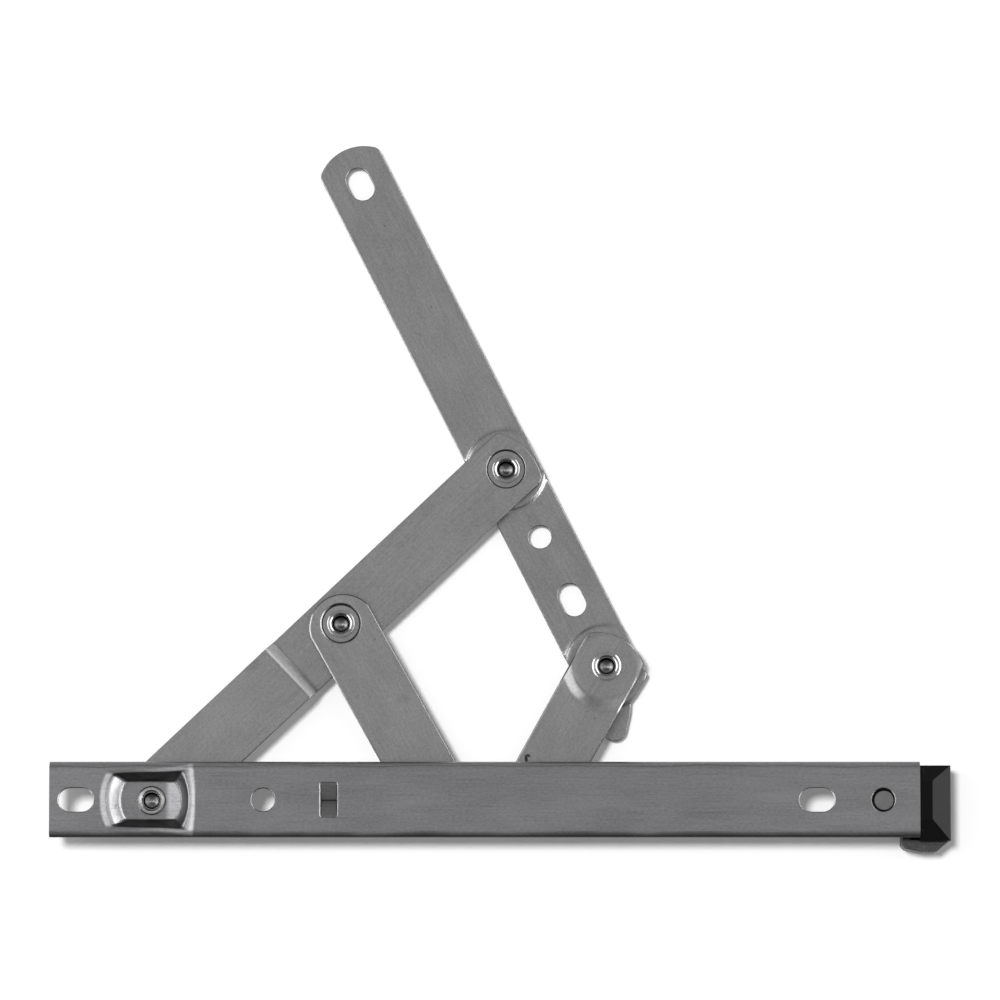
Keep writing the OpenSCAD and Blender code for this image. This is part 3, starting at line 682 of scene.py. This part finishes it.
class Finish:
    """One procedural material, built node by node on the piece's own coordinates."""

    def __init__(self, name, pivot=(0, 0), turn=0, **settings):
        self.made = bpy.data.materials.new(name)
        self.made.use_nodes = True
        self.tree = self.made.node_tree
        self.shader = self.tree.nodes["Principled BSDF"]
        for key, value in settings.items():
            self.shader.inputs[key.replace("_", " ")].default_value = value
        self.spot = self.node("ShaderNodeTexCoord").outputs["Object"]
        self.pivot, self.turn = pivot, turn

    def node(self, kind, **settings):
        node = self.tree.nodes.new(kind)
        for key, value in settings.items():
            setattr(node, key, value)
        return node

    def link(self, a, b):
        self.tree.links.new(a, b)

    def fill(self, socket, value):
        """Gives a socket a plain value, or what another node puts out."""
        if isinstance(value, bpy.types.NodeSocket):
            self.link(value, socket)
        else:
            socket.default_value = value

    def laid(self, pivot, turn, size):
        """Coordinates turned to a part's own length, with grains of a given size in millimetres."""
        node = self.node("ShaderNodeMapping", vector_type="TEXTURE")
        node.inputs["Location"].default_value = (pivot[0] * MM, pivot[1] * MM, 0)
        node.inputs["Rotation"].default_value = (0, 0, turn)
        node.inputs["Scale"].default_value = [s * MM for s in size]
        self.link(self.spot, node.inputs["Vector"])
        return node.outputs["Vector"]

    def mark(self, x, y, turn, wide, high, share):
        """Small oval mark at a place on the piece, all in millimetres."""
        far = self.node("ShaderNodeVectorMath", operation="LENGTH")
        self.link(self.laid((x, y), math.radians(turn), (wide / 2, high / 2, 1000)), far.inputs[0])
        return self.spread(far.outputs["Value"], 0.6, 1.1, share, 0)

    def axis(self, i):
        parts = self.node("ShaderNodeSeparateXYZ")
        self.link(self.spot, parts.inputs[0])
        return parts.outputs[i]

    def noise(self, size, detail, rough, warp=0.0):
        """Noise with grains of a given size in millimetres, along the part."""
        at = self.laid(self.pivot, self.turn, size)
        node = self.node("ShaderNodeTexNoise")
        for key, number in (("Scale", 1.0), ("Detail", detail), ("Roughness", rough), ("Distortion", warp)):
            node.inputs[key].default_value = number
        self.link(at, node.inputs["Vector"])
        return node.outputs["Fac"]

    def spread(self, value, low, high, out_low, out_high):
        node = self.node("ShaderNodeMapRange")
        ends = {"From Min": low, "From Max": high, "To Min": out_low, "To Max": out_high}
        for key, number in ends.items():
            node.inputs[key].default_value = number
        self.link(value, node.inputs["Value"])
        return node.outputs["Result"]

    def maths(self, kind, *values):
        node = self.node("ShaderNodeMath", operation=kind)
        for socket, value in zip(node.inputs, values):
            self.fill(socket, value)
        return node.outputs["Value"]

    def weighed(self, *parts):
        """Sum of (value, weight) pairs."""
        total, *others = [self.maths("MULTIPLY", value, weight) for value, weight in parts]
        for other in others:
            total = self.maths("ADD", total, other)
        return total

    def blend(self, share, first, second):
        node = self.node("ShaderNodeMix", data_type="RGBA")
        for i, value in ((0, share), (6, first), (7, second)):
            self.fill(node.inputs[i], value)
        return node.outputs[2]

    def painted_light_and_marks(self, colour, extra=None):
        """Takes the colour lighter or darker by the painted highlights and shade marked on the piece, and
        by any extra marks.
        """
        share = self.node("ShaderNodeAttribute", attribute_name="painted_light_and_marks").outputs["Fac"]
        if extra is not None:
            share = self.maths("ADD", share, extra)
        scale = self.node("ShaderNodeVectorMath", operation="SCALE")
        self.link(colour, scale.inputs["Vector"])
        self.link(self.maths("POWER", 3.6, share), scale.inputs["Scale"])
        self.link(scale.outputs["Vector"], self.shader.inputs["Base Color"])

    def rough(self, grain, low, high):
        """Roughness that follows a noise over its usual values."""
        self.link(self.spread(grain, 0.3, 0.7, low, high), self.shader.inputs["Roughness"])

    def bump(self, height, strength, depth):
        node = self.node("ShaderNodeBump")
        node.inputs["Strength"].default_value = strength
        node.inputs["Distance"].default_value = depth
        self.link(height, node.inputs["Height"])
        self.link(node.outputs["Normal"], self.shader.inputs["Normal"])


def arm_steel(name, pivot, turn, marks):
    """Tumbled plate: fine speckled grain with faint drawn streaks along the arm."""
    f = Finish(name, pivot, turn, Metallic=0.85)
    grain = f.noise((0.55, 0.4, 0.5), 2, 0.7)
    streak = f.noise((9, 0.5, 3), 3, 0.6)
    cloud = f.noise((14, 8, 8), 3, 0.5, 0.4)
    mix = f.weighed((grain, 0.5), (streak, 0.25), (cloud, 0.25))
    share = f.spread(mix, 0.36, 0.64, 0, 1)
    specks = f.spread(f.noise((1.3, 1.1, 1.2), 1, 0.5), 0.77, 0.82, 0, -0.45)
    for mark in marks:
        specks = f.maths("ADD", specks, f.mark(*mark))
    f.painted_light_and_marks(f.blend(share, tone(104), tone(126)), specks)
    f.rough(streak, 0.3, 0.37)
    f.bump(mix, 0.25, 0.00006)
    return f.made


def track_steel():
    """Cold-rolled strip: long drawn streaks, with painted shade in a darker wavy band along the lower bend
    and a fine painted shade line along the upper bend, on the upper face only.
    """
    f = Finish("track steel", Metallic=0.85)
    streak = f.noise((14, 0.32, 2), 4, 0.65)
    grain = f.noise((0.8, 0.45, 0.5), 2, 0.7)
    cloud = f.noise((22, 6, 8), 3, 0.5, 0.5)
    mix = f.weighed((streak, 0.3), (grain, 0.4), (cloud, 0.3))
    share = f.spread(mix, 0.38, 0.62, 0, 1)
    y, z = f.axis(1), f.axis(2)
    wave = f.spread(f.noise((16, 60, 60), 2, 0.5), 0.2, 0.8, -0.0005, 0.0005)
    edge = f.maths("ADD", y, wave)
    low_bend_shade = f.spread(edge, -0.0073, -0.0084, 0, -1.1)
    top_bend_shade = f.maths("MULTIPLY", f.maths("COMPARE", edge, 0.0079, 0.00013), -0.3)
    upper_face = f.spread(z, -0.0035, -0.0018, 0, 1)
    bends = f.maths("MULTIPLY", f.maths("ADD", low_bend_shade, top_bend_shade), upper_face)
    f.painted_light_and_marks(f.blend(share, tone(95, 0.03), tone(115, 0.03)), bends)
    f.rough(streak, 0.27, 0.34)
    f.bump(mix, 0.25, 0.00006)
    return f.made


def rivet_steel():
    """Bright, spun heads with a very fine grain."""
    f = Finish("rivet steel", Metallic=1.0)
    grain = f.noise((0.5, 0.5, 0.15), 3, 0.6)
    f.painted_light_and_marks(f.blend(f.spread(grain, 0.3, 0.7, 0, 1), tone(108), tone(130)))
    f.rough(grain, 0.18, 0.25)
    f.bump(grain, 0.06, 0.00002)
    return f.made


def moulded(name, dark, light, rough=0.42, shine=0.4, metal=0.0):
    """Moulded plastic or cast metal with a faint spark-eroded grain."""
    f = Finish(name, Specular_IOR_Level=shine, Metallic=metal)
    grain = f.noise((0.5, 0.5, 0.5), 3, 0.6)
    cloud = f.noise((6, 6, 6), 2, 0.5)
    share = f.spread(f.maths("ADD", grain, cloud), 0.7, 1.3, 0, 1)
    f.painted_light_and_marks(f.blend(share, dark, light))
    f.rough(grain, rough - 0.05, rough + 0.07)
    f.bump(grain, 0.2, 0.00005)
    return f.made


STRIP = track_steel()
RIVET = rivet_steel()
BLACK = moulded("black plastic", tone(2), tone(5), 0.36, 0.07)
STUD = moulded("stud grey", tone(84), tone(96))
SHOE = moulded("shoe plastic", tone(40), tone(52), 0.5)
WHITE = moulded("washer plastic", tone(196), tone(212), 0.45)
BRASS = moulded("slider brass", (0.42, 0.32, 0.16, 1), (0.52, 0.4, 0.2, 1), 0.35, metal=1.0)

# Small marks of use: place, turn in degrees, width, height, and how much darker below zero
MARKS = {"end_link": ((61.4, 9.9, 8, 0.8, 1.9, -1.7), (61.9, 10.65, 60, 0.7, 1.1, -1.6),
                      (77.4, 19.4, 0, 0.32, 0.32, -1.2), (75.75, 21.0, 0, 0.28, 0.28, -0.9)),
         "mid_link": ((32.5, 24.0, 20, 3.6, 2.6, -0.1), (63, 25, 0, 0.3, 0.3, -1)),
         "long_arm": ((-2.9, 32.0, 40, 4.5, 3.2, -0.09), (2.4, 15.3, 70, 0.2, 3.5, -0.3)),
         "sash_arm": ()}

# Pieces, each on its body

finish_piece(track(), "rolled_track", "track", STRIP, ["track"])
finish_piece(end_cap(), "moulded_cap", "track", BLACK, ["end_cap"], sharp=20)
finish_piece(cap_stud(), "cap_stud", "track", STUD, ["cap_rivet"],
             (track_high.x - 8.42, -0.12))
for name, node, pivot, turn, piece in (
        ("joggled_arm", "long_arm", track_pivot, long_turn,
         joined(long_arm(), sink_floor(LOWER_Z, long_len))),
        ("sash_plate", "sash_arm", sash_pivot, sash_turn, sash_arm()),
        ("middle_link", "mid_link", link_pivot, mid_turn, joined(mid_link(), sink_floor(UPPER_Z, 0))),
        ("dished_link", "end_link", slider_end, end_turn, end_link())):
    steel = arm_steel(node.replace("_", " ") + " steel", pivot, turn, MARKS[node])
    finish_piece(piece, name, node, steel, [node], pivot, turn)
# shine is the painted highlight on each rolled ring; only the track's rivet gets one.
for node, body, pivot, top, low, far, roll, shine in (
        ("track_rivet", "track", track_pivot, -SEAT_DEPTH, UPPER_Z - PLATE, FAR_R, 3.4, 0.55),
        ("sash_rivet", "long_arm", sash_pivot, LOWER_Z - SINK_H, PAD_Z - PLATE, FAR_R, 3.2, 0),
        ("link_rivet", "mid_link", link_pivot, UPPER_Z - SINK_H, LOWER_Z - PLATE, FAR_R, 3.2, 0),
        ("nose_rivet", "end_link", nose_pivot, LOWER_Z, PAD_Z - PLATE, nose_head, 3.4, 0)):
    rivet = rolled_rivet(top, low, far, roll, shine)
    finish_piece(rivet, "rolled_" + node, body, RIVET, [node], pivot, sharp=24)

# Hidden pieces keep the frame's own meshes, and only take a finish
for node, finish in (("slider", BRASS), ("friction_shoe", SHOE), ("adjusting_screw", RIVET),
                     ("slider_rivet_mid", RIVET), ("slider_rivet_end", RIVET), ("washer_track", WHITE),
                     ("washer_sash", WHITE), ("washer_link", WHITE), ("washer_nose", WHITE),
                     ("washer_slider_mid", WHITE), ("washer_slider_end", WHITE)):
    carried = frame["nodes"][node]
    if not carried.data.materials:
        carried.data.materials.append(finish)
    for spot in carried.material_slots:
        spot.material = finish

# Stage in metres: white floor under the stay, plain soft light from the upper left, the photo's camera

CENTRE = Vector((0.0553, 0.0702, 0))
PAPER = (0.96, 0.96, 0.96, 1)
FLOOR_GAP = 0.0004
FLOOR_GLOW = 0.15      # share of its own light, so that it stays white to the eye
ROOM_LIGHT = 0.13      # strength of the white room where light is gathered


def seen_share(tree):
    """One where the eye, a reflection or a refraction looks, zero where only light is gathered."""
    path = tree.nodes.new("ShaderNodeLightPath")
    share = path.outputs["Is Camera Ray"]
    for other in ("Is Glossy Ray", "Is Transmission Ray"):
        most = tree.nodes.new("ShaderNodeMath")
        most.operation = "MAXIMUM"
        tree.links.new(share, most.inputs[0])
        tree.links.new(path.outputs[other], most.inputs[1])
        share = most.outputs["Value"]
    return share


def flat_sheet(name, size, scale, height=0):
    """One square face, stretched and set at a height."""
    bm = bmesh.new()
    bmesh.ops.create_grid(bm, x_segments=1, y_segments=1, size=size)
    bmesh.ops.scale(bm, vec=(*scale, 1), verts=bm.verts[:])
    bmesh.ops.translate(bm, vec=(0, 0, height), verts=bm.verts[:])
    return as_mesh(bm, name)


def white_paper():
    """Matt white with a little light of its own, where the eye sees it."""
    paper = bpy.data.materials.new("white paper")
    paper.use_nodes = True
    tree = paper.node_tree
    tree.nodes.remove(tree.nodes["Principled BSDF"])
    matt = tree.nodes.new("ShaderNodeBsdfDiffuse")
    matt.inputs["Color"].default_value = PAPER
    glow = tree.nodes.new("ShaderNodeEmission")
    mix = tree.nodes.new("ShaderNodeMixShader")
    part = tree.nodes.new("ShaderNodeMath")
    part.operation = "MULTIPLY"
    part.inputs[1].default_value = FLOOR_GLOW
    tree.links.new(seen_share(tree), part.inputs[0])
    tree.links.new(part.outputs["Value"], mix.inputs["Fac"])
    tree.links.new(matt.outputs["BSDF"], mix.inputs[1])
    tree.links.new(glow.outputs["Emission"], mix.inputs[2])
    tree.links.new(mix.outputs["Shader"], tree.nodes["Material Output"].inputs["Surface"])
    return paper


def stage_floor():
    mesh = flat_sheet("floor", 3, (1, 1), cad_low.z - FLOOR_GAP)
    mesh.materials.append(white_paper())
    floor = added("floor", mesh)
    floor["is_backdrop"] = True


def stage_world():
    """White room that shows at full strength, and lights the stay only a little."""
    world = bpy.data.worlds.new("white room")
    bpy.context.scene.world = world
    world.use_nodes = True
    tree = world.node_tree
    back = tree.nodes["Background"]
    back.inputs["Color"].default_value = (1, 1, 1, 1)
    level = tree.nodes.new("ShaderNodeMapRange")
    level.inputs["To Min"].default_value = ROOM_LIGHT
    level.inputs["To Max"].default_value = 1.0
    tree.links.new(seen_share(tree), level.inputs["Value"])
    tree.links.new(level.outputs["Result"], back.inputs["Strength"])


def aimed(obj, spot, target=CENTRE):
    """Sets a lamp, a card or the camera at a spot, looking at a target."""
    obj.location = spot
    obj.rotation_mode = "QUATERNION"
    obj.rotation_quaternion = (target - Vector(spot)).to_track_quat("-Z", "Y")


def beside(x, y, z):
    """Spot beside the middle of the stay."""
    return CENTRE.x + x, CENTRE.y + y, z


def overhead(spot, power, spread):
    """Soft box far above, of a given spread in degrees."""
    data = bpy.data.lights.new("overhead soft box", "SUN")
    data.energy = power
    data.angle = math.radians(spread)
    obj = added("overhead soft box", data)
    obj.visible_glossy = False
    aimed(obj, spot)


def panel(name, spot, power, wide, high):
    """Soft panel beside the stay; a low one only draws the bright lines along its rims."""
    data = bpy.data.lights.new(name, "AREA")
    data.energy = power
    data.shape = "RECTANGLE"
    data.size, data.size_y = wide, high
    obj = added(name, data)
    obj.visible_diffuse = spot[2] > 0.5
    aimed(obj, spot)


def dark_card(spot, wide, high):
    """Card in front of the stay that only shows as a dark line in its polished lower edges."""
    mesh = flat_sheet("dark card", 0.5, (wide, high))
    mesh.materials.append(moulded("card black", tone(4), tone(8), 0.9, 0.0))
    card = added("dark card", mesh)
    aimed(card, spot)
    for seen in ("visible_camera", "visible_diffuse", "visible_shadow", "visible_transmission"):
        setattr(card, seen, False)
    card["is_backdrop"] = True


stage_floor()
stage_world()
overhead(beside(-0.2, 0.12, 1), 2.65, 10)
panel("left box", beside(-0.75, 0.15, 1.1), 2.4, 0.4, 1.2)
panel("right box", beside(0.75, 0.15, 1.1), 1.4, 0.4, 1.2)
panel("left strip", beside(-1.0, -0.15, 0.22), 22, 1.8, 0.44)
panel("right strip", beside(1.0, 0.1, 0.22), 26, 1.8, 0.44)
dark_card(beside(0, -1.0, 0.11), 2.4, 0.22)

camera = bpy.data.cameras.new("camera")
camera.sensor_width = 36
camera.lens = 230.5
eye = added("camera", camera)
aimed(eye, Vector((55.27, -73.53, 1493.1)) * MM, Vector((55.27, 70.24, 0)) * MM)
bpy.context.scene.camera = eye
bpy.context.scene.view_settings.view_transform = "Standard"

low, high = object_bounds()
